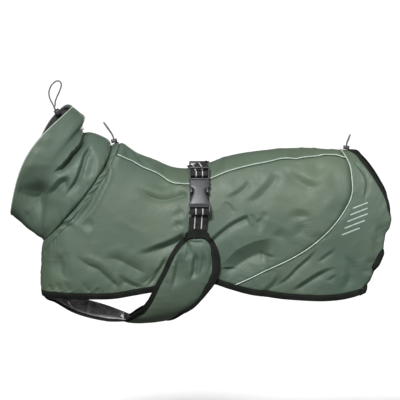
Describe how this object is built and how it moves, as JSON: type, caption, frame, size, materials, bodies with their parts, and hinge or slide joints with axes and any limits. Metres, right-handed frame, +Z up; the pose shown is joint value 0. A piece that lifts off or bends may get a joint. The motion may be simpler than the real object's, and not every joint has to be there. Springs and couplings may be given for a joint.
{
  "type": "dog winter coat",
  "caption": "Green dog winter coat, filled out as when worn, with a tall collar, a belly panel held by a buckled girth strap, dark bound edges and pale piping.",
  "frame": {"origin": "on the coat's middle line, at the smooth form of the back under the girth strap, where it rests on the wearer's back", "axes": "+X towards the tail, so the wearer faces -X, +Y towards the coat's right side, +Z up"},
  "size_m": [0.6331, 0.178, 0.4001],
  "materials": {
    "shell_fabric": "smooth sage green coated nylon with a satin sheen",
    "binding": "matt black-green woven tape",
    "piping": "pale grey-green reflective piping",
    "lining": "silver-grey crinkled satin lining",
    "collar_lining": "matt black fleece",
    "webbing": "dark woven webbing with two light stripes",
    "buckle_plastic": "glossy grey moulded acetal",
    "cord": "dark grey braided elastic cord"
  },
  "bodies": {
    "root": {"back_panel": "shell_fabric", "side_panel_left": "shell_fabric", "side_panel_right": "shell_fabric", "haunch_panel_left": "shell_fabric", "haunch_panel_right": "shell_fabric", "neck_channel": "shell_fabric", "collar": "shell_fabric", "belly_panel": "shell_fabric", "chest_strip": "shell_fabric", "hem_binding_left": "binding", "hem_binding_right": "binding", "rear_binding": "binding", "belly_rear_binding": "binding", "belly_front_binding_left": "binding", "belly_front_binding_right": "binding", "chest_strip_binding_left": "binding", "chest_strip_binding_right": "binding", "spine_piping_left": "piping", "spine_piping_right": "piping", "haunch_piping_left": "piping", "haunch_piping_right": "piping", "collar_piping": "piping", "chest_strip_lining": "lining", "collar_lining": "collar_lining", "back_strap": "webbing", "side_strap_left": "webbing", "side_strap_right": "webbing", "buckle_webbing_left": "webbing", "buckle_webbing_right": "webbing", "buckle_plug_left": "buckle_plastic", "buckle_plug_right": "buckle_plastic", "buckle_socket_left": "buckle_plastic", "buckle_socket_right": "buckle_plastic", "collar_lock": "buckle_plastic", "neck_lock": "buckle_plastic", "tail_lock": "buckle_plastic", "collar_cord": "cord", "neck_cord": "cord", "tail_cord": "cord"}
  },
  "joints": []
}
